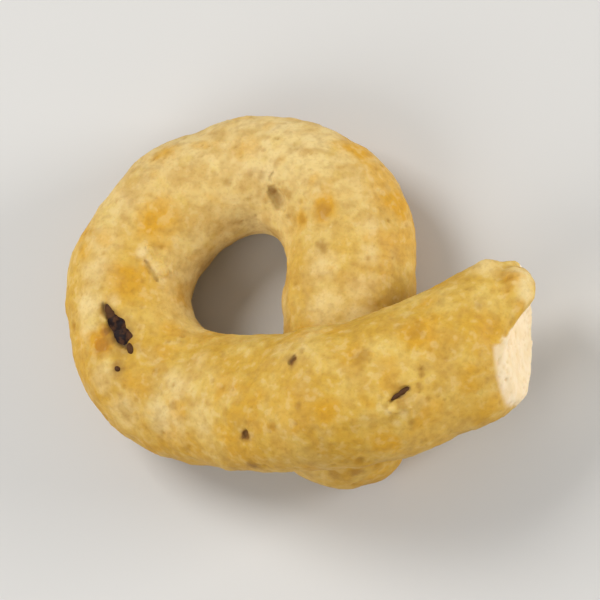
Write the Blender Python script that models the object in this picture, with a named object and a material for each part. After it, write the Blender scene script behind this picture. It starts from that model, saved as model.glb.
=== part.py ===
"""A tarallo: one rope of olive dough, bent round into a loop with its two cut ends crossed.

The rope lies on the baking tray at z = 0. Its upper run crosses over its lower run, the two are
pressed together, and the upper run ends in a short tail with a pale, slanting cut.
All sizes are in millimetres until the last step, which scales them to Blender's metres.
"""

import math

import bmesh
import bpy
import numpy as np
from mathutils import Matrix, Vector, noise
from mathutils.bvhtree import BVHTree

MM = 0.001

# The rope's line, followed from the cut at the upper end to the cut at the lower one. Each row is
# a distance along the rope, the way it points in plan (degrees from +X), how wide it is there, and
# how high it is lifted off the tray. Between the rows it changes smoothly.
ROPE = (
    (0.0, 208.5, 15.2, 3.8),
    (3.0, 208.5, 16.6, 4.0),
    (14.5, 206.0, 16.8, 7.4),
    (22.5, 185.0, 16.2, 9.6),
    (31.5, 172.5, 15.2, 5.6),
    (39.5, 165.5, 14.9, 1.2),
    (47.5, 128.0, 14.7, 0.0),
    (57.5, 75.5, 14.3, 0.0),
    (67.5, 41.0, 13.8, 0.0),
    (77.5, 3.0, 12.9, 0.0),
    (84.5, -34.5, 14.1, 0.0),
    (93.5, -88.5, 14.8, 0.0),
    (102.5, -88.0, 14.6, 0.0),
    (120.0, -94.0, 14.6, 0.0),
)
ROPE_START = (33.2, -4.8)
BEND_EASE = 7.0
ROPE_STEP = 0.5
ROUND_POINTS = 56

# The section is an oval, flatter where the two runs are squeezed together, and the tray has
# pressed a narrow flat along its underside.
SECTION_FLATNESS = 0.93
PRESSED_FLATNESS = 0.80
TRAY_SINK = 0.55

# The upper cut is a knife stroke straight down, turned in plan from the rope's own direction.
# The lower end is pressed round.
UPPER_CUT_TURN = 25.0
CUT_REACH = 9.0
LOWER_END_ROUNDING = 4.5

# A ragged lump of dough that the knife dragged out at the far corner of the upper cut.
DRAG_LUMP = (32.6, -0.9, 12.2)
DRAG_LUMP_SIZE = (2.9, 2.8, 3.2)

# How the surface is taken from the overlapping runs, and how far the crease is softened.
SKIN_VOXEL = 0.45
CREASE_SMOOTHING = 6
SKIN_SMOOTHING = 1

# The baked surface: broad swells and small dents, as (wavelength, height). Both fade out towards
# the tray, which keeps the foot flat.
SWELLS = (9.0, 0.30)
DENTS = (2.8, 0.10)
FOOT_FADE = 2.5
FOOT_HEIGHT = 0.15

# Places where the dough has sunk in, as (x, y, reach, depth): the crease above the hole, the split
# round the large piece of olive, and two hollows beside the upper cut.
HOLLOWS = (
    (4.9, 9.7, 1.7, 0.70),
    (-12.4, -5.4, 3.2, 0.35),
    (30.6, -4.6, 1.3, 0.35),
    (31.8, -6.6, 1.2, 0.25),
)

# The pieces of olive that show on the skin, largest first, as (x, y, length, width, turn in plan
# in degrees). Each stands a little proud of the dough.
OLIVE_BITS = (
    (-12.3, -5.5, 5.5, 1.9, -56.0),
    (22.3, -14.2, 2.7, 0.9, 27.0),
    (24.7, -11.8, 1.4, 0.6, 80.0),
    (10.2, -10.5, 1.3, 0.8, 35.0),
    (4.5, -18.2, 1.2, 0.8, 60.0),
    (11.1, 3.8, 1.5, 0.8, 20.0),
    (-1.1, 11.8, 1.0, 0.7, 0.0),
)
BIT_THICKNESS = 0.8
BIT_PROUD = 0.26
BIT_FACETS = 2
SMALL_BIT = 1.6

TRIANGLES = 9000
SHARP_ANGLE = 40.0

CRUST = (0.64, 0.42, 0.13, 1.0)
CRUST_ROUGHNESS = 0.55


def clear_scene():
    for thing in list(bpy.data.objects):
        bpy.data.objects.remove(thing)


def eased(distances, column):
    """A column of ROPE at each distance, with its corners rounded over BEND_EASE."""
    table = np.array(ROPE)
    plain = np.interp(distances, table[:, 0], table[:, column])
    half = int(round(BEND_EASE / ROPE_STEP / 2))
    window = np.hanning(2 * half + 3)[1:-1]
    padded = np.pad(plain, half, mode="edge")
    return np.convolve(padded, window / window.sum(), mode="valid")


def rope_line():
    """The rope's centre points, its directions in plan, and its section's half width and half height."""
    length = ROPE[-1][0]
    distances = np.arange(0.0, length + ROPE_STEP / 2, ROPE_STEP)
    heading = np.radians(eased(distances, 1))
    width = eased(distances, 2)
    lift = eased(distances, 3)
    ahead = np.column_stack([np.cos(heading), np.sin(heading)])
    walked = np.vstack([np.zeros(2), np.cumsum(ahead[:-1] * ROPE_STEP, axis=0)])
    plan = walked + np.array(ROPE_START)
    pressed = np.minimum(lift / lift.max(), 1.0)
    flatness = SECTION_FLATNESS + (PRESSED_FLATNESS - SECTION_FLATNESS) * pressed
    half_height = width * flatness / 2
    centre = np.column_stack([plan, half_height - TRAY_SINK + lift])
    return distances, centre, ahead, width / 2, half_height


def rope_rings():
    """Rings of points along the rope, slanted at the upper cut and drawn in round the lower end."""
    distances, centre, ahead, half_width, half_height = rope_line()
    into_end = np.clip(1.0 - (distances[-1] - distances) / LOWER_END_ROUNDING, 0.0, 1.0)
    drawn_in = np.sqrt(1.0 - np.minimum(into_end, 0.97) ** 2)
    around = np.linspace(0.0, 2 * math.pi, ROUND_POINTS, endpoint=False)
    side = np.column_stack([ahead[:, 1], -ahead[:, 0]])
    across = (half_width * drawn_in)[:, None] * np.cos(around)[None]
    height = centre[:, 2, None] + (half_height * drawn_in)[:, None] * np.sin(around)[None]
    rings = np.empty((len(centre), ROUND_POINTS, 3))
    rings[..., :2] = centre[:, None, :2] + side[:, None] * across[..., None]
    rings[..., 2] = np.maximum(height, 0.0)
    near_cut = np.clip(1.0 - distances / CUT_REACH, 0.0, 1.0)
    push = across * math.tan(math.radians(UPPER_CUT_TURN)) * near_cut[:, None]
    rings[..., :2] -= ahead[:, None] * push[..., None]
    return rings


def rope_mesh():
    """The rope as one closed tube with its drag lump. The two runs still pass through each other."""
    body = bmesh.new()
    loops = [[body.verts.new(point) for point in ring] for ring in rope_rings()]
    for one, two in zip(loops, loops[1:]):
        for k in range(ROUND_POINTS):
            after = (k + 1) % ROUND_POINTS
            body.faces.new((one[k], two[k], two[after], one[after]))
    body.faces.new(loops[0])
    body.faces.new(reversed(loops[-1]))
    bmesh.ops.recalc_face_normals(body, faces=body.faces)
    place = Matrix.Translation(DRAG_LUMP) @ Matrix.Diagonal(DRAG_LUMP_SIZE).to_4x4()
    bmesh.ops.create_icosphere(body, subdivisions=3, radius=1.0, matrix=place)
    mesh = bpy.data.meshes.new("tarallo")
    body.to_mesh(mesh)
    body.free()
    return mesh


def apply_modifiers(thing):
    """Turns what the object's modifiers make of its mesh into the mesh itself."""
    graph = bpy.context.evaluated_depsgraph_get()
    made = bpy.data.meshes.new_from_object(thing.evaluated_get(graph))
    thing.modifiers.clear()
    before = thing.data
    thing.data = made
    bpy.data.meshes.remove(before)


def grow_skin(thing, smoothing):
    """One new skin round everything, with its creases softened."""
    remesh = thing.modifiers.new("skin", "REMESH")
    remesh.mode = "VOXEL"
    remesh.voxel_size = SKIN_VOXEL
    smooth = thing.modifiers.new("crease", "SMOOTH")
    smooth.factor = 0.5
    smooth.iterations = smoothing
    apply_modifiers(thing)


def raise_relief(mesh):
    """Moves the skin in and out by the swells, dents and hollows."""
    outwards = [vertex.normal.copy() for vertex in mesh.vertices]
    for vertex, normal in zip(mesh.vertices, outwards):
        point = vertex.co.copy()
        swell = noise.noise(point / SWELLS[0]) * SWELLS[1]
        dent = noise.noise(point / DENTS[0] + Vector((40.0, 0.0, 0.0))) * DENTS[1]
        fade = min(point.z / FOOT_FADE, 1.0)
        sunk = 0.0
        for x, y, reach, depth in HOLLOWS:
            near = 1.0 - math.hypot(point.x - x, point.y - y) / reach
            if near > 0.0 and normal.z > 0.0:
                sunk += depth * near * near * (3.0 - 2.0 * near)
        vertex.co = point + normal * ((swell + dent) * fade * 2.0 - sunk)
    mesh.update()


def flatten_foot(mesh):
    for vertex in mesh.vertices:
        if vertex.co.z < FOOT_HEIGHT:
            vertex.co.z = 0.0
    mesh.update()


def thin_out(thing):
    """Fewer triangles, most of them where the surface bends."""
    flatten_foot(thing.data)
    thing.data.calc_loop_triangles()
    decimate = thing.modifiers.new("thin", "DECIMATE")
    decimate.ratio = TRIANGLES / len(thing.data.loop_triangles)
    apply_modifiers(thing)
    flatten_foot(thing.data)


def add_olive_bits(thing):
    """Lays the pieces of olive on the skin and fuses them to it."""
    skin = BVHTree.FromObject(thing, bpy.context.evaluated_depsgraph_get())
    bits = bpy.data.collections.new("olive bits")
    for x, y, length, width, turn in OLIVE_BITS:
        spot, normal, _, _ = skin.ray_cast(Vector((x, y, 100.0)), Vector((0.0, 0.0, -1.0)))
        lean = normal.to_track_quat("Z", "Y").to_matrix().to_4x4()
        along = Matrix.Rotation(math.radians(turn), 3, "Z") @ Vector((1.0, 0.0, 0.0))
        flat = lean.inverted().to_3x3() @ along
        spin = Matrix.Rotation(math.atan2(flat.y, flat.x), 4, "Z")
        size = Matrix.Diagonal((length / 2, width / 2, BIT_THICKNESS / 2)).to_4x4()
        centre = spot + normal * (BIT_PROUD - BIT_THICKNESS / 2)
        facets = BIT_FACETS if length > SMALL_BIT else BIT_FACETS - 1
        body = bmesh.new()
        place = Matrix.Translation(centre) @ lean @ spin @ size
        bmesh.ops.create_icosphere(body, subdivisions=facets, radius=1.0, matrix=place)
        mesh = bpy.data.meshes.new("olive bit")
        body.to_mesh(mesh)
        body.free()
        bit = bpy.data.objects.new("olive bit", mesh)
        bit.hide_render = True
        bits.objects.link(bit)
    union = thing.modifiers.new("fuse", "BOOLEAN")
    union.operation = "UNION"
    union.operand_type = "COLLECTION"
    union.collection = bits
    union.solver = "EXACT"
    apply_modifiers(thing)
    for bit in list(bits.objects):
        bpy.data.objects.remove(bit)
    bpy.data.collections.remove(bits)


def settle(mesh):
    """Puts the middle of the foot at the origin and turns millimetres into metres."""
    points = np.array([vertex.co for vertex in mesh.vertices])
    low, high = points.min(axis=0), points.max(axis=0)
    middle = Vector(((low[0] + high[0]) / 2, (low[1] + high[1]) / 2, low[2]))
    mesh.transform(Matrix.Diagonal((MM, MM, MM)).to_4x4() @ Matrix.Translation(-middle))


def crust_material():
    material = bpy.data.materials.new("baked crust")
    material.use_nodes = True
    shader = material.node_tree.nodes["Principled BSDF"]
    shader.inputs["Base Color"].default_value = CRUST
    shader.inputs["Roughness"].default_value = CRUST_ROUGHNESS
    shader.inputs["Metallic"].default_value = 0.0
    return material


def main():
    clear_scene()
    tarallo = bpy.data.objects.new("tarallo", rope_mesh())
    bpy.context.scene.collection.objects.link(tarallo)
    grow_skin(tarallo, CREASE_SMOOTHING)
    raise_relief(tarallo.data)
    grow_skin(tarallo, SKIN_SMOOTHING)
    thin_out(tarallo)
    add_olive_bits(tarallo)
    settle(tarallo.data)
    tarallo.data.shade_smooth()
    tarallo.data.set_sharp_from_angle(angle=math.radians(SHARP_ANGLE))
    tarallo.data.materials.clear()
    tarallo.data.materials.append(crust_material())


if __name__ == "__main__":
    main()
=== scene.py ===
"""A tarallo: a rope of olive dough, looped round, crossed, boiled and baked golden.

It lies on a pale table under soft light. The camera looks down on it.
"""

import math

import bmesh
import bpy
import numpy as np
from mathutils import Matrix, Vector, noise
from mathutils.bvhtree import BVHTree


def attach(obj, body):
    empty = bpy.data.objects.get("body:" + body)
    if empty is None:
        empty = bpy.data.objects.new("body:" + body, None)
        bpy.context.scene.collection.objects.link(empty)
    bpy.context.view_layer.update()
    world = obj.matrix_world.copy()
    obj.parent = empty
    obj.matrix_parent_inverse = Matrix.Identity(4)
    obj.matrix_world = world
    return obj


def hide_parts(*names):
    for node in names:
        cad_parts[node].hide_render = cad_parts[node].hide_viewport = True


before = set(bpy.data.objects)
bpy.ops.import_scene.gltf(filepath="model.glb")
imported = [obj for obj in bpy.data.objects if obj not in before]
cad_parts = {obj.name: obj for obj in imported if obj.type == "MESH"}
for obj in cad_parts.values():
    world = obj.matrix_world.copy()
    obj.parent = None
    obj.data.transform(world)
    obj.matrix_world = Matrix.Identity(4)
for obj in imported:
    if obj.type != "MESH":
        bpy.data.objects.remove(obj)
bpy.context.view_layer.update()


# The rope of dough. The baker rolls it by hand, bends it round into a loop and presses its upper
# run down onto its lower one, so both share one skin. A knife cut ends the tail with a slant.
# Its sizes are in millimetres, until the finished skin is brought to the frame's metres.
MM = 0.001
# The rope from its cut on: the distance along it, its heading in plan in degrees from +X, its
# width and its lift off the tray.
ROPE = (
    (0.0, 208.5, 13.4, 4.2),
    (3.0, 208.5, 16.6, 4.0),
    (14.5, 206.0, 16.8, 7.4),
    (22.5, 185.0, 16.2, 9.6),
    (31.5, 172.5, 15.2, 5.6),
    (39.5, 165.5, 14.9, 1.2),
    (47.5, 128.0, 14.7, 0.0),
    (57.5, 75.5, 14.3, 0.0),
    (67.5, 41.0, 13.8, 0.0),
    (77.5, 3.0, 12.9, 0.0),
    (84.5, -34.5, 14.1, 0.0),
    (93.5, -88.5, 14.8, 0.0),
    (102.5, -88.0, 14.6, 0.0),
    (120.0, -94.0, 14.6, 0.0),
)
ROPE_START = (33.2, -4.8)
ROPE_STEP = 0.5
BEND_EASE = 7.0
SECTION_FLATNESS = 0.93
PRESSED_FLATNESS = 0.80
TRAY_SINK = 0.55
CUT_SLOPE = math.tan(math.radians(25.0))
CUT_REACH = 9.0
CUT_LEAN = 0.07
LOWER_END_ROUNDING = 4.5
END_TIP = 0.97
POINTS_ROUND = 72
# The lip of dough that the knife drags over the cut: x, y, z, half width and half height.
LIP = (
    (32.0, -9.6, 15.7, 0.2, 0.2),
    (32.3, -7.8, 15.4, 0.9, 0.9),
    (32.6, -5.6, 14.9, 1.3, 1.3),
    (33.0, -3.6, 14.2, 1.7, 1.8),
    (33.4, -1.6, 13.2, 2.0, 2.4),
    (33.3, 0.2, 12.4, 1.9, 2.3),
    (33.0, 1.5, 11.9, 1.2, 1.4),
    (32.8, 2.0, 11.7, 0.2, 0.2),
)
LIP_HEADING = (0.15, 0.99, 0.0)
LIP_POINTS = 40
# The point of the rope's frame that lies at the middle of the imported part's foot.
ROW_MIDDLE = Vector((7.555, -0.887, 0.0))


class Wire:
    """A node's output, which takes part in sums as a number does."""

    def __init__(self, tree, socket=None):
        self.tree = tree
        self.socket = socket

    def node(self, kind, sockets=None, out=0, **settings):
        """Adds a node with its settings and its sockets filled."""
        made = self.tree.nodes.new(kind)
        for name, value in settings.items():
            setattr(made, name, value)
        for name, value in (sockets or {}).items():
            if isinstance(value, Wire):
                self.tree.links.new(value.socket, made.inputs[name])
            else:
                made.inputs[name].default_value = value
        return Wire(self.tree, made.outputs[out] if made.outputs else None)

    def math(self, operation, first, second):
        return self.node("ShaderNodeMath", {0: first, 1: second}, operation=operation)

    def __add__(self, other):
        return self.math("ADD", self, other)

    def __radd__(self, other):
        return self.math("ADD", other, self)

    def __sub__(self, other):
        return self.math("SUBTRACT", self, other)

    def __rsub__(self, other):
        return self.math("SUBTRACT", other, self)

    def __mul__(self, other):
        return self.math("MULTIPLY", self, other)

    def __rmul__(self, other):
        return self.math("MULTIPLY", other, self)

    def __truediv__(self, other):
        return self.math("DIVIDE", self, other)

    def __rtruediv__(self, other):
        return self.math("DIVIDE", other, self)

    def at_least(self, other):
        return self.math("MAXIMUM", self, other)

    def at_most(self, other):
        return self.math("MINIMUM", self, other)

    def rise(self, low, high):
        """0 below low, 1 above high, and smooth between. It falls where low is the larger."""
        return self.node("ShaderNodeMapRange", {"Value": self, "From Min": low, "From Max": high},
                         interpolation_type="SMOOTHSTEP")

    def mix(self, below, above):
        """The colour below where this is 0, and the colour above where it is 1."""
        return self.node("ShaderNodeMix", {0: self, 6: below, 7: above}, out=2, data_type="RGBA")

    def vector(self, operation, *others, out=0):
        sockets = dict(enumerate((self, *others)))
        return self.node("ShaderNodeVectorMath", sockets, out=out, operation=operation)

    def part(self, axis):
        return self.node("ShaderNodeSeparateXYZ", {0: self}, out="XYZ".index(axis))

    def cloud(self, scale, detail, along=0.0):
        """Smooth noise of 0 to 1 at this place, which starts this far along X."""
        moved = self.vector("ADD", (along, 0.0, 0.0))
        return moved.node("ShaderNodeTexNoise", {"Vector": moved, "Scale": scale, "Detail": detail})


def geometry_tree(name, inputs):
    """A Geometry Nodes tree with named inputs. Returns it and its inputs as wires."""
    tree = bpy.data.node_groups.new(name, "GeometryNodeTree")
    for label, kind in (("Geometry", "Geometry"), *inputs):
        tree.interface.new_socket(name=label, in_out="INPUT", socket_type="NodeSocket" + kind)
    tree.interface.new_socket(name="Geometry", in_out="OUTPUT", socket_type="NodeSocketGeometry")
    entry = tree.nodes.new("NodeGroupInput")
    return tree, {s.name: Wire(tree, s) for s in entry.outputs if s.name}


def give(tree, geometry):
    tree.links.new(geometry.socket, tree.nodes.new("NodeGroupOutput").inputs[0])


def add_tree(thing, tree, values):
    """Puts the tree on the object and sets its inputs by their identifiers."""
    modifier = thing.modifiers.new(tree.name, "NODES")
    modifier.node_group = tree
    for item in tree.interface.items_tree:
        if item.item_type == "SOCKET" and item.in_out == "INPUT" and item.name in values:
            modifier[item.identifier] = values[item.name]


def bake_modifiers(thing):
    """Makes the object's mesh what its modifiers make of it, and removes them."""
    graph = bpy.context.evaluated_depsgraph_get()
    made = bpy.data.meshes.new_from_object(thing.evaluated_get(graph))
    thing.modifiers.clear()
    thing.data = made


def new_thing(name, mesh):
    thing = bpy.data.objects.new(name, mesh)
    bpy.context.scene.collection.objects.link(thing)
    return thing


def eased(distances, column):
    """A column of ROPE at each distance, with its corners rounded over BEND_EASE."""
    table = np.array(ROPE)
    plain = np.interp(distances, table[:, 0], table[:, column])
    half = int(round(BEND_EASE / ROPE_STEP / 2))
    window = np.hanning(2 * half + 3)[1:-1]
    return np.convolve(np.pad(plain, half, mode="edge"), window / window.sum(), mode="valid")


def rope_line():
    """The middle lines of the rope and of its lip, as chains of points that carry the sizes."""
    distances = np.arange(0.0, ROPE[-1][0] + ROPE_STEP / 2, ROPE_STEP)
    heading, width, lift = (eased(distances, column) for column in (1, 2, 3))
    ahead = np.column_stack([np.cos(np.radians(heading)), np.sin(np.radians(heading))])
    walked = np.vstack([np.zeros(2), np.cumsum(ahead[:-1] * ROPE_STEP, axis=0)])
    pressed = np.minimum(lift / lift.max(), 1.0)
    half_height = width / 2 * (SECTION_FLATNESS + (PRESSED_FLATNESS - SECTION_FLATNESS) * pressed)
    middle = np.column_stack([walked + ROPE_START, half_height - TRAY_SINK + lift])
    into_end = np.clip(1.0 - (distances[-1] - distances) / LOWER_END_ROUNDING, 0.0, END_TIP)
    drawn_in = np.sqrt(1.0 - into_end ** 2)
    near_cut = np.clip(1.0 - distances / CUT_REACH, 0.0, 1.0)
    lip = np.array(LIP)
    along_lip = np.linspace(0.0, len(LIP) - 1.0, LIP_POINTS)
    lip = np.column_stack([np.interp(along_lip, range(len(LIP)), column) for column in lip.T])
    middle = np.vstack([middle, lip[:, :3]])
    ahead = np.vstack([np.pad(ahead, ((0, 0), (0, 1))), np.tile(LIP_HEADING, (LIP_POINTS, 1))])
    run = len(distances)
    mesh = bpy.data.meshes.new("rope line")
    mesh.from_pydata(middle, [(k, k + 1) for k in range(len(middle) - 1) if k + 1 != run], [])
    for name, values in (
        ("half_width", np.append(width / 2 * drawn_in, lip[:, 3])),
        ("half_height", np.append(half_height * drawn_in, lip[:, 4])),
        ("near_cut", np.append(near_cut, np.zeros(LIP_POINTS))),
    ):
        mesh.attributes.new(name, "FLOAT", "POINT").data.foreach_set("value", values)
    for name, values in (("middle", middle), ("ahead", ahead)):
        mesh.attributes.new(name, "FLOAT_VECTOR", "POINT").data.foreach_set("vector", values.ravel())
    return mesh


def rope_tree():
    """Rolls an oval section along each line, and slants and leans the cut."""
    tree, given = geometry_tree("roll rope", (
        ("Points Round", "Int"), ("Cut Slope", "Float"), ("Cut Lean", "Float")))
    start = Wire(tree)

    def carried(name, kind):
        return start.node("GeometryNodeInputNamedAttribute", {"Name": name}, data_type=kind)

    ring = start.node("GeometryNodeCurvePrimitiveCircle",
                      {"Resolution": given["Points Round"], "Radius": 1.0})
    ring = ring.node("GeometryNodeStoreNamedAttribute", {
        "Geometry": ring, "Name": "ring", "Value": start.node("GeometryNodeInputPosition"),
    }, data_type="FLOAT_VECTOR")
    line = start.node("GeometryNodeMeshToCurve", {0: given["Geometry"]})
    tube = start.node("GeometryNodeCurveToMesh", {0: line, "Profile Curve": ring, "Fill Caps": True})
    round_place = carried("ring", "FLOAT_VECTOR")
    ahead = carried("ahead", "FLOAT_VECTOR")
    across = round_place.part("X") * carried("half_width", "FLOAT")
    raised = round_place.part("Y") * carried("half_height", "FLOAT")
    back = (across * given["Cut Slope"] - raised * given["Cut Lean"]) * carried("near_cut", "FLOAT")
    middle = carried("middle", "FLOAT_VECTOR")
    place = start.node("ShaderNodeCombineXYZ", {
        0: middle.part("X") + ahead.part("Y") * across - ahead.part("X") * back,
        1: middle.part("Y") - ahead.part("X") * across - ahead.part("Y") * back,
        2: (middle.part("Z") + raised).at_least(0.0),
    })
    give(tree, start.node("GeometryNodeSetPosition", {"Geometry": tube, "Position": place}))
    return tree


crust = new_thing("baked_crust", rope_line())
add_tree(crust, rope_tree(), {
    "Points Round": POINTS_ROUND, "Cut Slope": CUT_SLOPE, "Cut Lean": CUT_LEAN})


# The skin that both runs share. Where they are pressed together the crease between them closes.
# Boiling and baking leave broad swells, small dents, and splits round the larger olive pieces.
SKIN_VOXEL = 0.28
CREASE_SMOOTHING = 15
LAST_SMOOTHING = 2
# Layers of noise over the whole skin: height, wavelength and start.
SWELLS_AND_DENTS = ((0.60, 9.0, 0.0), (0.26, 2.8, 40.0))
# They grow from nothing at the tray to their full height at this one.
FOOT_FADE = 2.5
# Hollows of the upper side: x, y, reach and depth.
HOLLOWS = (
    (4.9, 9.7, 1.7, 0.70),
    (-12.4, -5.4, 3.2, 0.35),
    (30.6, -4.6, 1.3, 0.35),
    (31.8, -6.6, 1.2, 0.25),
)
# Swells of the flanks and of the lip: x, y, z, reach and height. A hollow has a height below 0.
FLANK_SWELLS = (
    (5.3, 2.7, 7.5, 3.0, -0.60),
    (4.6, -1.2, 8.0, 2.4, 0.40),
    (4.2, 7.6, 8.5, 2.6, 0.45),
    (-3.4, -2.0, 7.0, 3.0, 0.30),
    (32.0, 1.5, 13.6, 1.3, -0.35),
    (32.1, -0.1, 14.9, 1.2, -0.35),
    (32.2, -1.6, 15.6, 1.1, -0.25),
    (33.9, 0.1, 14.7, 1.5, 0.30),
    (34.3, -2.2, 15.1, 1.2, 0.20),
    (30.1, 1.7, 13.7, 2.3, 0.75),
    (32.8, 2.1, 12.5, 1.4, -0.50),
)
# Splits run from one point in plan to another, with a half width, a depth and how dark they are.
# Their darkness is dark olive round the pieces of olive, and painted shade in the cracks and in the
# notch at the hole's corner. A ridge of torn skin has a depth below 0.
SPLITS = (
    (-10.1, 2.6, -8.4, 0.4, 0.28, 0.26, 0.28),
    (-9.6, 4.0, -7.9, 1.2, 0.46, -0.32, 0.0),
    (-8.4, 3.0, -7.2, 1.6, 0.42, -0.22, 0.0),
    (-14.1, -2.6, -12.7, -4.6, 0.74, 0.30, 0.8),
    (-13.3, -4.2, -11.2, -7.3, 1.20, 0.30, 0.9),
    (21.6, -15.1, 23.7, -13.4, 0.45, 0.30, 0.55),
    (21.6, -16.1, 23.6, -15.5, 0.45, -0.16, 0.0),
    (10.0, -11.0, 10.4, -9.9, 0.38, 0.24, 0.45),
    (4.4, -18.5, 4.6, -17.9, 0.36, 0.22, 0.35),
    (4.0, 10.9, 5.7, 8.8, 0.95, 0.34, 0.16),
    (4.5, 12.9, 4.3, 11.9, 0.30, 0.20, 0.14),
)
DEPTH, DARKNESS = 5, 6
# How the splits' outlines waver: height, wavelength and start.
SPLIT_RAGGED_X = ((0.38, 1.7, 90.0), (0.16, 0.6, 95.0))
SPLIT_RAGGED_Y = ((0.38, 1.7, 130.0), (0.16, 0.6, 135.0))
# A split's width at its tips as a share of its middle's, how many half widths its soft edge
# reaches, and how far up the skin has to face for it.
SPLIT_TIP = 0.35
SPLIT_EDGE = 1.3
SPLIT_LEAST_UP = 0.2


def grow_skin(thing, smoothing):
    remesh = thing.modifiers.new("skin", "REMESH")
    remesh.mode = "VOXEL"
    remesh.voxel_size = SKIN_VOXEL
    soften = thing.modifiers.new("crease", "SMOOTH")
    soften.factor = 0.5
    soften.iterations = smoothing
    bake_modifiers(thing)


def points_and_normals(mesh):
    points = np.empty(len(mesh.vertices) * 3)
    mesh.vertices.foreach_get("co", points)
    normals = np.empty(len(mesh.vertices) * 3)
    mesh.vertex_normals.foreach_get("vector", normals)
    return points.reshape(-1, 3), normals.reshape(-1, 3)


def noise_at(points, wavelength, start):
    """Smooth noise of about -1 to 1, which starts this far along X."""
    shift = Vector((start, 0.0, 0.0))
    return np.array([noise.noise(Vector(point) / wavelength + shift) for point in points])


def layered_noise(points, layers):
    """The sum of layers of noise, each given by its height, its wavelength and its start."""
    return sum(height * noise_at(points, wavelength, start) for height, wavelength, start in layers)


def smooth(share):
    """The share from 0 to 1, with its two ends made level."""
    return share * share * (3.0 - 2.0 * share)


def splits_at(points, normals, column):
    """This column of SPLITS at each point. It fades to 0 at the edge of every split."""
    ragged_x = points[:, 0] + layered_noise(points, SPLIT_RAGGED_X)
    ragged_y = points[:, 1] + layered_noise(points, SPLIT_RAGGED_Y)
    found = np.zeros(len(points))
    for row in SPLITS:
        x0, y0, x1, y1, half_width = row[:5]
        run = np.array([x1 - x0, y1 - y0])
        share = ((ragged_x - x0) * run[0] + (ragged_y - y0) * run[1]) / (run @ run)
        held = np.clip(share, 0.0, 1.0)
        away = np.hypot(ragged_x - x0 - held * run[0], ragged_y - y0 - held * run[1])
        width_here = SPLIT_TIP + (1.0 - SPLIT_TIP) * np.sqrt(np.maximum(4 * held * (1 - held), 0.0))
        inside = np.clip(SPLIT_EDGE - away / (half_width * width_here), 0.0, 1.0)
        found += row[column] * smooth(inside)
    return found * (normals[:, 2] > SPLIT_LEAST_UP)


def bake_form(mesh):
    """Moves the skin by its swells, dents and hollows."""
    points, normals = points_and_normals(mesh)
    fade = np.minimum(points[:, 2] / FOOT_FADE, 1.0)
    shift = fade * layered_noise(points, SWELLS_AND_DENTS)
    for x, y, reach, depth in HOLLOWS:
        near = np.clip(1.0 - np.hypot(points[:, 0] - x, points[:, 1] - y) / reach, 0.0, 1.0)
        shift -= depth * smooth(near) * (normals[:, 2] > 0.0)
    for x, y, z, reach, height in FLANK_SWELLS:
        near = np.clip(1.0 - np.linalg.norm(points - (x, y, z), axis=1) / reach, 0.0, 1.0)
        shift += height * smooth(near)
    mesh.vertices.foreach_set("co", (points + normals * shift[:, None]).ravel())
    mesh.update()


def split_skin(mesh):
    """Makes the skin finer round the splits, and sinks them."""
    fine = bmesh.new()
    fine.from_mesh(mesh)
    points, normals = points_and_normals(mesh)
    near = np.abs(splits_at(points, normals, DEPTH)) > 0.0
    edges = [edge for edge in fine.edges if near[edge.verts[0].index] or near[edge.verts[1].index]]
    bmesh.ops.subdivide_edges(fine, edges=edges, cuts=1, use_grid_fill=True)
    bmesh.ops.triangulate(fine, faces=[face for face in fine.faces if len(face.verts) > 4])
    fine.to_mesh(mesh)
    fine.free()
    points, normals = points_and_normals(mesh)
    sunk = splits_at(points, normals, DEPTH)
    mesh.vertices.foreach_set("co", (points - normals * sunk[:, None]).ravel())
    mesh.update()


grow_skin(crust, CREASE_SMOOTHING)
bake_form(crust.data)
grow_skin(crust, LAST_SMOOTHING)
split_skin(crust.data)


# The baked surface itself: pores and blisters where steam left the dough, a faintly pebbled skin,
# and the open crumb of the cut. The tray keeps the foot flat.
# A point of the cut and the way the cut faces, and the same for the edge of the lip above it.
CUT_PLACE = (33.2, -4.8, 10.0)
CUT_FACES = (0.9955, 0.061, 0.070)
LIP_EDGE = (33.0, -8.8, 16.5)
LIP_EDGE_FACES = (0.0, 0.562, 0.827)
# The crumb shows where the skin faces as the cut does, lies near the cut's plane, and isn't over
# the lip, whose edge is this ragged. Each pair runs from no crumb to whole crumb.
CUT_FROM_TURN = (0.40, 0.54)
CUT_FROM_PLANE = (-1.2, -0.7)
CUT_UNDER_LIP = (0.60, 0.20)
LIP_RAGGEDNESS = 1.6
# Heights between which the flat foot gives way to the baked skin.
FOOT_HEIGHTS = (0.15, 2.2)
# Round marks: cells per mm, their start, the radius at a mark's edge and at its full depth, and
# the draws below which a cell has none and above which it has a whole one.
PORE = (0.62, 0.0, 0.50, 0.05, 0.72, 0.78)
FINE_PORE = (1.15, 31.0, 0.26, 0.04, 0.55, 0.60)
PIT = (0.28, 57.0, 0.85, 0.10, 0.72, 0.76)
BLISTER = (0.40, 83.0, 0.95, 0.0, 0.55, 0.60)
BUBBLE = (0.9, 7.0, 0.50, 0.12, 0.50, 0.60)
SMALL_BUBBLE = (1.6, 43.0, 0.32, 0.08, 0.45, 0.60)


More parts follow.
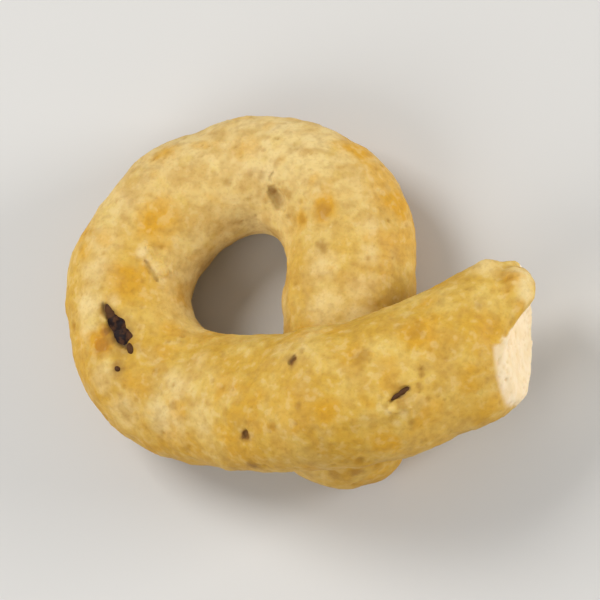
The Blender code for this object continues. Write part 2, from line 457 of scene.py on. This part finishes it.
def crust_tree():
    """Moves the skin along its normals, and keeps the pores, bubbles and cut as attributes."""
    tree, given = geometry_tree("bake crust", (
        ("Pore Depth", "Float"), ("Pebble Height", "Float"), ("Crumb Height", "Float"),
        ("Cut Place", "Vector"), ("Cut Faces", "Vector"),
        ("Lip Edge", "Vector"), ("Lip Edge Faces", "Vector")))
    start = Wire(tree)
    place = start.node("GeometryNodeInputPosition")
    normal = start.node("GeometryNodeInputNormal")

    def marks(cells_per_mm, along, edge, middle, none, whole):
        """Round marks in some of the cells, 1 in the middle of each and 0 outside it."""
        moved = place.vector("ADD", (along, 0.0, 0.0))
        near = moved.node("ShaderNodeTexVoronoi", {"Vector": moved, "Scale": cells_per_mm})
        tint = Wire(tree, near.socket.node.outputs["Color"])
        draw = tint.node("FunctionNodeSeparateColor", {0: tint})
        return (near / cells_per_mm).rise(edge, middle) * draw.rise(none, whole)

    off_foot = place.part("Z").rise(*FOOT_HEIGHTS)
    facing = normal.vector("DOT_PRODUCT", given["Cut Faces"], out=1)
    beyond = place.vector("SUBTRACT", given["Cut Place"]).vector(
        "DOT_PRODUCT", given["Cut Faces"], out=1)
    over_lip = place.vector("SUBTRACT", given["Lip Edge"]).vector(
        "DOT_PRODUCT", given["Lip Edge Faces"], out=1)
    over_lip = over_lip + (place.cloud(0.8, 2.0, 5.0) - 0.5) * LIP_RAGGEDNESS
    cut = (facing.rise(*CUT_FROM_TURN) * beyond.rise(*CUT_FROM_PLANE)
           * over_lip.rise(*CUT_UNDER_LIP))

    clustered = 0.25 + place.cloud(0.16, 1.0, 71.0).rise(0.48, 0.62)
    pores = marks(*PORE) * 0.9 + (marks(*FINE_PORE) * 0.6 + marks(*PIT) * 1.3) * clustered
    pores = pores * (1.0 - cut)
    coarse_pebbles = place.cloud(0.9, 2.0, 11.0) - 0.5
    fine_pebbles = place.cloud(2.4, 1.0, 23.0) - 0.5
    pebbles = coarse_pebbles + fine_pebbles * 0.5 + marks(*BLISTER) * 0.35
    bubbles = marks(*BUBBLE).at_least(marks(*SMALL_BUBBLE) * 0.8)
    crumb = (place.cloud(1.1, 3.0, 3.0) - 0.5) * 1.6 - bubbles * 1.7
    baked = pebbles * given["Pebble Height"] * (1.0 - cut) - pores * given["Pore Depth"]
    height = off_foot * baked + crumb * given["Crumb Height"] * cut
    skin = given["Geometry"]
    for name, value in (("pores", pores.at_most(1.0) * off_foot), ("bubbles", bubbles), ("cut", cut)):
        skin = start.node("GeometryNodeStoreNamedAttribute", {
            "Geometry": skin, "Name": name, "Value": value})
    offset = normal.node("ShaderNodeVectorMath", {0: normal, "Scale": height}, operation="SCALE")
    give(tree, start.node("GeometryNodeSetPosition", {"Geometry": skin, "Offset": offset}))
    return tree


add_tree(crust, crust_tree(), {
    "Pore Depth": 0.17, "Pebble Height": 0.24, "Crumb Height": 0.17,
    "Cut Place": CUT_PLACE, "Cut Faces": CUT_FACES,
    "Lip Edge": LIP_EDGE, "Lip Edge Faces": LIP_EDGE_FACES})
bake_modifiers(crust)
crust.data.transform(Matrix.Diagonal((MM, MM, MM)).to_4x4() @ Matrix.Translation(-ROW_MIDDLE))
crust.data.shade_smooth()
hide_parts("tarallo")
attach(crust, "root")


# The finish of the crust: golden durum and olive-oil dough, paler where it swelled and towards the
# back, with soft orange patches, brown where the tray and the oil toasted it, and cream crumb in the
# cut. It also carries painted light and shade: painted highlights, an inner wall of the hole painted
# paler, and painted shade low on the flanks, in the pores, cracks and crumb bubbles, and at the notch
# by the hole's corner.
# Marks are given as they show from above the front, across and up from the middle of the loop.
LOOK_FROM = Vector((0.26, -0.20, 0.945)).normalized()
LOOK_ACROSS = (Vector((1, 0, 0)) - LOOK_FROM * LOOK_FROM.x).normalized()
LOOK_UP = LOOK_FROM.cross(LOOK_ACROSS)
LOOP_MIDDLE = Vector((0.0, 0.0, 7.0)) - ROW_MIDDLE
# How far above the tarallo a line that finds a mark's place starts, in metres.
LOOK_START = 0.3
# The middle of the hole in plan. Skin that faces away from it counts as outside.
HOLE_MIDDLE = (-6.8, 1.1)
OUTSIDE_START = 0.2
GOLDEN = (0.625, 0.374, 0.048, 1.0)
PALE_GOLD = (0.72, 0.505, 0.132, 1.0)
CREAM_GOLD = (0.80, 0.612, 0.280, 1.0)
DEEP_GOLD = (0.57, 0.272, 0.012, 1.0)
ORANGE = (0.66, 0.335, 0.014, 1.0)
BURNT_ORANGE = (0.50, 0.195, 0.006, 1.0)
MOTTLE = (0.55, 0.322, 0.068, 1.0)
OCHRE = (0.32, 0.150, 0.020, 1.0)
TOASTED = (0.34, 0.150, 0.018, 1.0)
SHADE_IN_PORES = (0.38, 0.180, 0.018, 1.0)
SPOT_BROWN = (0.17, 0.070, 0.010, 1.0)
SPLIT_BROWN_AND_SHADE = (0.09, 0.042, 0.010, 1.0)
CRUMB = (0.86, 0.695, 0.465, 1.0)
CRUMB_SHADE = (0.78, 0.57, 0.28, 1.0)
SHADE_IN_BUBBLES = (0.62, 0.41, 0.17, 1.0)
# Heights above the table and places along Y, in metres, from where each tint is absent to where
# it is whole.
LOW_FLANK = (0.0095, 0.0015)
INNER_WALL = (0.0130, 0.0060)
TOASTED_FOOT = (0.0026, 0.0004)
BACK = (0.0, 0.019)
FRONT = (-0.002, -0.012)
# Orange patches that oil left: across, up, reach and strength.
STAINS = (
    (-8.3, 15.7, 1.4, 0.8), (0.7, 16.4, 1.5, 0.55), (-9.4, 8.1, 2.2, 0.9), (-12.6, 0.9, 2.1, 0.8),
    (-7.9, -4.0, 1.1, 0.6), (-17.5, 4.5, 0.9, 0.7), (-15.5, -6.0, 1.3, 1.6), (-15.1, -4.6, 0.9, 1.5),
    (-11.3, -10.8, 1.4, 0.5), (2.3, -14.6, 1.3, 0.6), (3.6, -14.9, 0.7, 0.9), (-1.8, -9.9, 2.0, 0.4),
    (13.2, 16.2, 2.4, 0.65), (15.7, 13.4, 2.5, 0.75), (17.3, 10.0, 2.3, 0.75), (18.3, 6.2, 1.8, 0.5),
    (9.4, 9.2, 1.3, 1.1), (7.0, 8.1, 0.9, 0.9), (20.3, -4.6, 2.0, 0.8), (27.5, -4.5, 1.9, 0.7),
    (31.0, -1.8, 0.9, 0.8), (9.9, -13.1, 1.5, 0.9), (15.8, -16.7, 1.6, 0.9), (12.6, -6.8, 1.4, 0.5),
    (25.2, -9.5, 1.5, 0.5), (27.9, -12.6, 1.3, 0.5), (20.9, -1.2, 1.2, 0.6), (5.6, -13.4, 2.8, 0.5),
    (0.5, -17.8, 2.0, 0.5), (4.6, -16.6, 1.8, 0.4), (8.0, -19.6, 1.2, 0.7), (29.9, 1.6, 0.9, 0.55),
    (29.7, 0.3, 0.8, 0.65),
)
# Brown spots, where a scrap of olive lies just under the skin, in the same way. Those at the
# notch by the hole's corner are partly painted shade.
SPOTS = (
    (9.4, 9.1, 0.9, 0.4), (9.2, 5.0, 0.75, 0.62), (12.6, 9.9, 0.7, 0.2), (7.0, 8.1, 0.55, 0.35),
    (-1.4, 12.4, 0.55, 0.42), (2.4, 13.0, 0.5, 0.45), (1.3, 13.2, 0.35, 0.35), (-2.9, 13.3, 0.35, 0.3),
    (3.7, 11.3, 0.5, 0.7), (4.4, 10.2, 0.75, 0.45), (5.4, 10.9, 0.6, 0.35), (6.1, 16.3, 0.8, 0.2),
    (5.3, 13.9, 0.45, 0.25), (6.0, -7.6, 0.72, 0.9), (6.9, -6.5, 0.35, 0.45), (0.9, -15.9, 0.68, 0.9),
    (1.6, -19.3, 0.8, 0.75), (13.5, -7.2, 1.0, 0.5), (20.1, -8.4, 0.36, 0.75), (20.1, -9.2, 0.34, 0.7),
    (19.8, -10.2, 0.3, 0.4), (13.1, -20.0, 0.75, 0.6), (10.6, -20.3, 0.65, 0.4), (-7.4, -12.6, 0.5, 0.45),
    (6.6, -12.6, 0.45, 0.45), (-3.8, -15.1, 0.6, 0.2), (-13.8, -4.0, 1.7, 0.55), (-12.9, -5.7, 1.7, 0.5),
    (-14.9, -2.2, 0.9, 0.6), (-14.8, -4.8, 0.8, 0.55), (-15.5, -6.5, 0.9, 0.34), (-14.9, -4.4, 0.75, 0.75),
    (-14.3, -5.4, 0.75, 0.65), (17.8, -11.4, 1.1, 0.5), (18.0, -12.6, 0.7, 0.45), (30.1, 1.6, 0.5, 0.3),
    (29.8, 0.4, 0.5, 0.34), (26.5, -1.5, 0.45, 0.35), (22.2, -1.0, 0.5, 0.25), (-0.2, -14.7, 0.4, 0.25),
    (16.2, -12.5, 0.35, 0.45), (16.9, -13.9, 0.35, 0.4), (15.6, -11.6, 0.3, 0.3), (19.0, -14.2, 0.4, 0.35),
    (-8.8, 0.4, 0.4, 0.25), (3.6, -14.9, 0.6, 0.52), (-13.7, -8.6, 0.9, 0.7), (19.7, -4.4, 0.9, 0.36),
)
# Cream streaks where the skin stretched thin over a swell, and painted highlights on the left rim,
# beside the crack, on the thin end of the largest olive piece and on the lip, and painted light on
# the strand where the tail shades it, all in the same way.
STREAKS_AND_HIGHLIGHTS = (
    (-16.4, 2.4, 2.0, 0.9), (-17.2, -1.2, 2.0, 1.0), (-15.6, 5.6, 1.7, 0.7), (-13.0, 10.5, 1.6, 0.6),
    (-14.1, -0.8, 0.7, 1.1), (-17.1, -4.6, 1.5, 0.8), (-15.4, -9.6, 1.6, 0.8), (-12.6, -13.0, 2.0, 0.8),
    (-8.2, -13.8, 2.4, 1.1), (-4.6, -14.0, 2.0, 0.6), (-6.8, -10.6, 1.8, 0.9), (-2.5, 19.0, 1.4, 0.7),
    (0.8, 19.2, 1.6, 0.9), (4.5, 18.3, 1.6, 0.8), (8.5, 17.2, 1.5, 0.6), (1.0, 14.0, 1.6, 0.5),
    (3.0, 13.4, 1.1, 1.0), (14.6, 7.0, 1.2, 0.8), (14.6, 4.2, 1.2, 0.7), (-10.9, 4.4, 0.65, 1.3),
    (-10.4, 3.5, 0.55, 1.2), (-9.7, 2.8, 0.5, 1.1), (-9.1, 2.2, 0.5, 0.9), (-8.7, 1.3, 0.45, 0.8),
    (-8.1, 2.7, 0.55, 0.6), (-7.6, 1.9, 0.45, 0.6), (18.2, -13.4, 0.45, 0.7), (16.4, -13.2, 0.35, 0.7),
    (17.4, -14.4, 0.4, 0.7), (6.9, -6.2, 0.5, 0.4), (9.0, 2.6, 1.8, 0.8), (9.8, -1.2, 2.0, 0.8),
    (13.4, 0.6, 1.8, 0.8), (13.0, -2.4, 1.6, 0.8), (-4.5, -7.5, 1.1, 0.6), (27.2, 3.0, 1.4, 0.9),
    (31.5, 1.9, 1.5, 1.5), (31.9, -0.2, 1.3, 1.3), (32.4, -1.2, 0.8, 1.0), (7.7, -4.5, 1.3, 0.5),
    (5.0, -6.0, 1.4, 0.4), (12.0, -3.2, 1.4, 0.4),
)
# How wide the soft edges of the patches are, as a share of their reach, and how their outlines
# waver: height, wavelength and start.
STAIN_EDGE, SPOT_EDGE, STREAK_AND_HIGHLIGHT_EDGE = 1.1, 0.9, 1.2
PATCH_WAVER = ((0.45, 1.7, 200.0), (0.25, 0.7, 230.0))
SPOT_WAVER = ((0.45, 0.55, 260.0), (0.45, 1.1, 290.0))


def look_line(across, up):
    """A point far above the tarallo and the direction down to it, for a mark as it shows."""
    from_middle = LOOP_MIDDLE + LOOK_ACROSS * across + LOOK_UP * up
    return from_middle * MM + LOOK_FROM * LOOK_START, -LOOK_FROM


def patches(skin, points, places, waver, edge):
    """How strongly any of the patches covers each point, with soft edges of this width."""
    cover = np.zeros(len(points))
    for across, up, reach, strength in places:
        middle = skin.ray_cast(*look_line(across, up))[0]
        away = np.linalg.norm(points - np.array(middle), axis=1) / (reach * MM) + waver
        cover = np.maximum(cover, strength * np.clip((1.0 + edge / 2 - away) / edge, 0.0, 1.0))
    return cover


def mark_surface(thing):
    """Keeps the splits, patches, spots and flanks as attributes for the finish."""
    skin = BVHTree.FromObject(thing, bpy.context.evaluated_depsgraph_get())
    points, normals = points_and_normals(thing.data)
    in_mm = points / MM + np.array(ROW_MIDDLE)
    patch_waver = layered_noise(in_mm, PATCH_WAVER)
    spot_waver = layered_noise(in_mm, SPOT_WAVER)
    outward = points[:, :2] - np.array(HOLE_MIDDLE) * MM
    outward /= np.linalg.norm(outward, axis=1)[:, None]
    outside = np.clip(OUTSIDE_START + (normals[:, :2] * outward).sum(axis=1), 0.0, 1.0)
    for name, values in (
        ("split", np.clip(splits_at(in_mm, normals, DARKNESS), 0.0, 1.0)),
        ("stain", patches(skin, points, STAINS, patch_waver, STAIN_EDGE)),
        ("spot", patches(skin, points, SPOTS, spot_waver, SPOT_EDGE)),
        ("streak_and_highlight", patches(skin, points, STREAKS_AND_HIGHLIGHTS, patch_waver, STREAK_AND_HIGHLIGHT_EDGE)),
        ("outside", outside),
    ):
        thing.data.attributes.new(name, "FLOAT", "POINT").data.foreach_set("value", values)


def bare_material(name):
    """A material with no nodes yet, a wire to start them from, and the object's coordinates."""
    material = bpy.data.materials.new(name)
    material.use_nodes = True
    material.node_tree.nodes.clear()
    start = Wire(material.node_tree)
    return material, start, start.node("ShaderNodeTexCoord", out=3)


def crumb_colour(place, bubbles):
    """Cream crumb, darker here and there, with painted shade in its bubbles."""
    mottle = place.cloud(600.0, 4.0, 2.0).rise(0.35, 0.60)
    grain = place.cloud(2400.0, 2.0, 2.6).rise(0.56, 0.72)
    colour = (0.55 + mottle * 0.45).mix(CRUMB_SHADE, CRUMB)
    colour = (grain * 0.18).mix(colour, CRUMB_SHADE)
    return (bubbles * 0.52).mix(colour, SHADE_IN_BUBBLES)


def crust_finish():
    """Golden dough, tinted in turn by its height, its swells, the oil, the heat and the marks, and by
    painted light and shade.
    """
    material, start, place = bare_material("baked crust")

    def kept(name):
        return start.node("ShaderNodeAttribute", out=2, attribute_name=name)

    pores, bubbles, cut, split, stain, spot, streak_and_highlight, outside = (kept(name) for name in (
        "pores", "bubbles", "cut", "split", "stain", "spot", "streak_and_highlight", "outside"))
    broad = place.cloud(150.0, 3.0)
    oily = place.cloud(260.0, 2.0, 1.1)
    dull = place.cloud(330.0, 2.0, 1.7)
    middling = place.cloud(430.0, 4.0, 0.3)
    small = place.cloud(900.0, 1.5, 0.5)
    grain = place.cloud(3000.0, 3.0, 0.7)
    finest = place.cloud(6500.0, 2.0, 3.0)
    above_table = place.part("Z")
    back = place.part("Y").rise(*BACK)
    front = place.part("Y").rise(*FRONT)
    # The inner wall of the hole, which is painted paler: painted light on a wall in shade.
    inner = (1.0 - outside) * above_table.rise(*INNER_WALL)
    # Deeper gold low on the outer flanks and towards the front. Low on the flanks it is partly the browner
    # baked sides and partly painted shade, as on the rope's lower end.
    deep = (above_table.rise(*LOW_FLANK) * outside * 0.95).at_least(
        outside.rise(0.55, 1.10) * front * 0.45)
    foot = (above_table + (middling - 0.5) * 0.002).rise(*TOASTED_FOOT)

    colour = (broad.rise(0.42, 0.60) * 0.75).mix(GOLDEN, PALE_GOLD)
    # Paler towards the back.
    colour = (back * 0.75).mix(colour, CREAM_GOLD)
    colour = deep.mix(colour, DEEP_GOLD)
    # Painted light: the hole's inner wall made paler.
    colour = (inner * 0.8).mix(colour, CREAM_GOLD)
    colour = (middling.rise(0.48, 0.30) * 0.60 * (1.0 - deep * 0.6)).mix(colour, PALE_GOLD)
    # Cream streaks, painted highlights, and painted light on the strand where the tail shades it.
    colour = (streak_and_highlight * (0.45 + middling * 0.5)).mix(colour, CREAM_GOLD)
    colour = (dull.rise(0.46, 0.68) * 0.52).mix(colour, MOTTLE)
    colour = (oily.rise(0.55, 0.70) * 0.45 + stain * 0.85).at_most(0.9).mix(colour, ORANGE)
    colour = (stain.rise(0.85, 1.50) * 0.80).mix(colour, BURNT_ORANGE)
    colour = (small.rise(0.46, 0.74) * 0.27).mix(colour, TOASTED)
    colour = (small.rise(0.46, 0.32) * 0.28 * (1.0 - deep * 0.9)).mix(colour, CREAM_GOLD)
    colour = (grain.rise(0.50, 0.66) * 0.14).mix(colour, TOASTED)
    # Olive under the skin, and at the notch by the hole's corner partly painted shade.
    colour = spot.at_most(0.95).mix(colour, OCHRE)
    colour = spot.rise(0.60, 1.0).mix(colour, SPOT_BROWN)
    colour = (foot * (0.25 + outside * 0.5)).at_most(1.0).mix(colour, TOASTED)
    # Painted shade in the pores and pits.
    colour = (pores * 0.60).mix(colour, SHADE_IN_PORES)
    # Dark olive round the olive pieces, and painted shade in the cracks and the notch.
    colour = split.mix(colour, SPLIT_BROWN_AND_SHADE)
    colour = cut.mix(colour, crumb_colour(place, bubbles))

    rough = 0.54 + (middling - 0.5) * 0.30 + pores * 0.15 + cut * 0.30
    height = grain * 0.4 + finest * 0.2 + small * 0.9
    bumped = start.node("ShaderNodeBump", {"Strength": 0.80, "Distance": 0.00012, "Height": height})
    shader = start.node("ShaderNodeBsdfPrincipled", {
        "Base Color": colour, "Roughness": rough, "Normal": bumped,
        "Specular IOR Level": 0.20, "Subsurface Weight": 0.10,
        "Subsurface Radius": (1.0, 0.45, 0.20), "Subsurface Scale": 0.0009})
    start.node("ShaderNodeOutputMaterial", {"Surface": shader})
    return material


mark_surface(crust)
crust.data.materials.clear()
crust.data.materials.append(crust_finish())


# The pieces of olive in the dough: scraps of dark skin, each lying in the surface. The first four
# lie together as one torn piece, and the next two as a sliver. The rows give the place across and
# up, the length and width, and the turn, all as they show from above.
OLIVE_BITS = (
    (-13.6, -4.1, 3.6, 2.3, -52.0),
    (-13.0, -5.0, 3.1, 2.4, -52.0),
    (-14.5, -2.5, 2.8, 1.3, -72.0),
    (-12.3, -6.3, 1.4, 0.8, -75.0),
    (18.2, -10.9, 1.6, 0.75, 36.0),
    (17.3, -11.5, 1.5, 0.65, 34.0),
    (-13.7, -8.6, 0.8, 0.65, -30.0),
)
# How thick a scrap is, how far it stands out of the skin, and how uneven it is.
BIT_THICKNESS = 0.9
BIT_PROUD = 0.28
BIT_UNEVENNESS = 0.40
BIT_FINENESS = 900.0
BIT_SUBDIVISIONS = 5
OLIVE_BLACK = (0.012, 0.005, 0.005, 1.0)
OLIVE_BROWN = (0.075, 0.030, 0.012, 1.0)
THIN_SKIN = (0.10, 0.042, 0.014, 1.0)
# Half widths in metres between which a scrap turns from thick to thin.
THIN_HALF_WIDTHS = (0.0012, 0.0004)


def bit_places(skin):
    """One point for each piece of olive, with its turn and size."""
    spots, turns, sizes = [], [], []
    for across, up, length, width, turn in OLIVE_BITS:
        spot, normal, _, _ = skin.ray_cast(*look_line(across, up))
        lean = normal.to_track_quat("Z", "Y")
        heading = LOOK_ACROSS * math.cos(math.radians(turn)) + LOOK_UP * math.sin(math.radians(turn))
        along = lean.inverted() @ heading
        spin = Matrix.Rotation(math.atan2(along.y, along.x), 3, "Z")
        spots.append(spot + normal * (BIT_PROUD - BIT_THICKNESS / 2) * MM)
        turns.append((lean.to_matrix() @ spin).to_euler())
        sizes.append((length / 2 * MM, width / 2 * MM, BIT_THICKNESS / 2 * MM))
    mesh = bpy.data.meshes.new("olive places")
    mesh.from_pydata(spots, [], [])
    for name, values in (("turn", turns), ("size", sizes)):
        kept = mesh.attributes.new(name, "FLOAT_VECTOR", "POINT")
        kept.data.foreach_set("vector", np.array(values).ravel())
    return mesh


def bits_tree(finish):
    """An uneven scrap at each point, all of them different."""
    tree, given = geometry_tree("olive bits", (("Unevenness", "Float"), ("Fineness", "Float")))
    start = Wire(tree)
    scrap = start.node("GeometryNodeMeshIcoSphere", {
        "Radius": 1.0, "Subdivisions": BIT_SUBDIVISIONS})
    turn = start.node("GeometryNodeInputNamedAttribute", {"Name": "turn"}, data_type="FLOAT_VECTOR")
    size = start.node("GeometryNodeInputNamedAttribute", {"Name": "size"}, data_type="FLOAT_VECTOR")
    turned = start.node("FunctionNodeEulerToRotation", {0: turn})
    scraps = start.node("GeometryNodeInstanceOnPoints", {
        "Points": given["Geometry"], "Instance": scrap, "Rotation": turned, "Scale": size})
    real = start.node("GeometryNodeRealizeInstances", {0: scraps})
    place = start.node("GeometryNodeInputPosition")
    lumps = start.node("ShaderNodeTexNoise", {
        "Vector": place, "Scale": given["Fineness"], "Detail": 2.0}, out=1)
    push = lumps.vector("SUBTRACT", (0.5, 0.5, 0.5))
    push = push.node("ShaderNodeVectorMath", {
        0: push, "Scale": size.part("Y") * given["Unevenness"]}, operation="SCALE")
    shaped = start.node("GeometryNodeSetPosition", {"Geometry": real, "Offset": push})
    give(tree, start.node("GeometryNodeSetMaterial", {"Geometry": shaped, "Material": finish}))
    return tree


def olive_finish():
    """Mottled black skin, which shows browner where a scrap is narrow and so thin."""
    material, start, place = bare_material("olive skin")
    mottle = place.cloud(1400.0, 3.0)
    size = start.node("ShaderNodeAttribute", out=1, attribute_name="size")
    colour = mottle.rise(0.42, 0.66).mix(OLIVE_BLACK, OLIVE_BROWN)
    colour = (size.part("Y").rise(*THIN_HALF_WIDTHS) * 0.75).mix(colour, THIN_SKIN)
    bumped = start.node("ShaderNodeBump", {"Strength": 0.5, "Distance": 0.0001, "Height": mottle})
    shader = start.node("ShaderNodeBsdfPrincipled", {
        "Base Color": colour, "Roughness": 0.45 + mottle * 0.3, "Normal": bumped,
        "Specular IOR Level": 0.14})
    start.node("ShaderNodeOutputMaterial", {"Surface": shader})
    return material


crust_skin = BVHTree.FromObject(crust, bpy.context.evaluated_depsgraph_get())
olive_bits = new_thing("olive_bits", bit_places(crust_skin))
add_tree(olive_bits, bits_tree(olive_finish()), {
    "Unevenness": BIT_UNEVENNESS, "Fineness": BIT_FINENESS})
bake_modifiers(olive_bits)
olive_bits.data.shade_smooth()
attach(olive_bits, "root")


# The pale table that the tarallo lies on, and the soft daylight over it. The camera looks down
# on it from above the front, from far enough away for a flat view.
VIEW_WIDTH = 0.0675
CAMERA_AWAY = 0.90
SENSOR_WIDTH = 36.0
AIM_ACROSS, AIM_UP = 6.75, -0.9
TABLE_REACH = 2.0
PALE_TABLE = (0.64, 0.63, 0.61, 1.0)
DAYLIGHT = (1.0, 0.98, 0.95)
SIDE_LIGHT = (1.0, 0.99, 0.97)
ROOM_COLOUR = (0.93, 0.96, 1.0, 1.0)
ROOM_STRENGTH = 0.32


def flat_finish(name, colour, roughness):
    material = bpy.data.materials.new(name)
    material.use_nodes = True
    shader = material.node_tree.nodes["Principled BSDF"]
    shader.inputs["Base Color"].default_value = colour
    shader.inputs["Roughness"].default_value = roughness
    return material


table_mesh = bpy.data.meshes.new("table")
corners = [(x * TABLE_REACH, y * TABLE_REACH, 0.0) for x, y in ((-1, -1), (1, -1), (1, 1), (-1, 1))]
table_mesh.from_pydata(corners, [], [(0, 1, 2, 3)])
table_mesh.materials.append(flat_finish("pale table", PALE_TABLE, 0.7))
table = new_thing("table", table_mesh)

aim = (LOOP_MIDDLE + LOOK_ACROSS * AIM_ACROSS + LOOK_UP * AIM_UP) * MM
camera = bpy.data.objects.new("camera", bpy.data.cameras.new("camera"))
camera.data.sensor_width = SENSOR_WIDTH
camera.data.lens = SENSOR_WIDTH * CAMERA_AWAY / VIEW_WIDTH
camera.data.clip_start = 0.01
camera.matrix_world = Matrix.Translation(aim + LOOK_FROM * CAMERA_AWAY) @ Matrix(
    (LOOK_ACROSS, LOOK_UP, LOOK_FROM)).transposed().to_4x4()
bpy.context.scene.collection.objects.link(camera)
bpy.context.scene.camera = camera


def soft_light(name, place, size, power, colour):
    """A square lamp that faces the tarallo."""
    lamp = bpy.data.lights.new(name, "AREA")
    lamp.size = size
    lamp.energy = power
    lamp.color = colour
    thing = bpy.data.objects.new(name, lamp)
    thing.location = place
    thing.rotation_euler = (-Vector(place)).to_track_quat("-Z", "Y").to_euler()
    bpy.context.scene.collection.objects.link(thing)


soft_light("window", (-0.38, 0.27, 0.50), 0.32, 2.8, DAYLIGHT)
soft_light("fill", (-0.30, -0.40, 0.42), 0.40, 1.6, DAYLIGHT)
soft_light("side", (0.50, 0.08, 0.18), 0.22, 1.9, SIDE_LIGHT)
world = bpy.data.worlds.new("room")
world.use_nodes = True
background = world.node_tree.nodes["Background"]
background.inputs["Color"].default_value = ROOM_COLOUR
background.inputs["Strength"].default_value = ROOM_STRENGTH
bpy.context.scene.world = world
bpy.context.scene.view_settings.view_transform = "Standard"
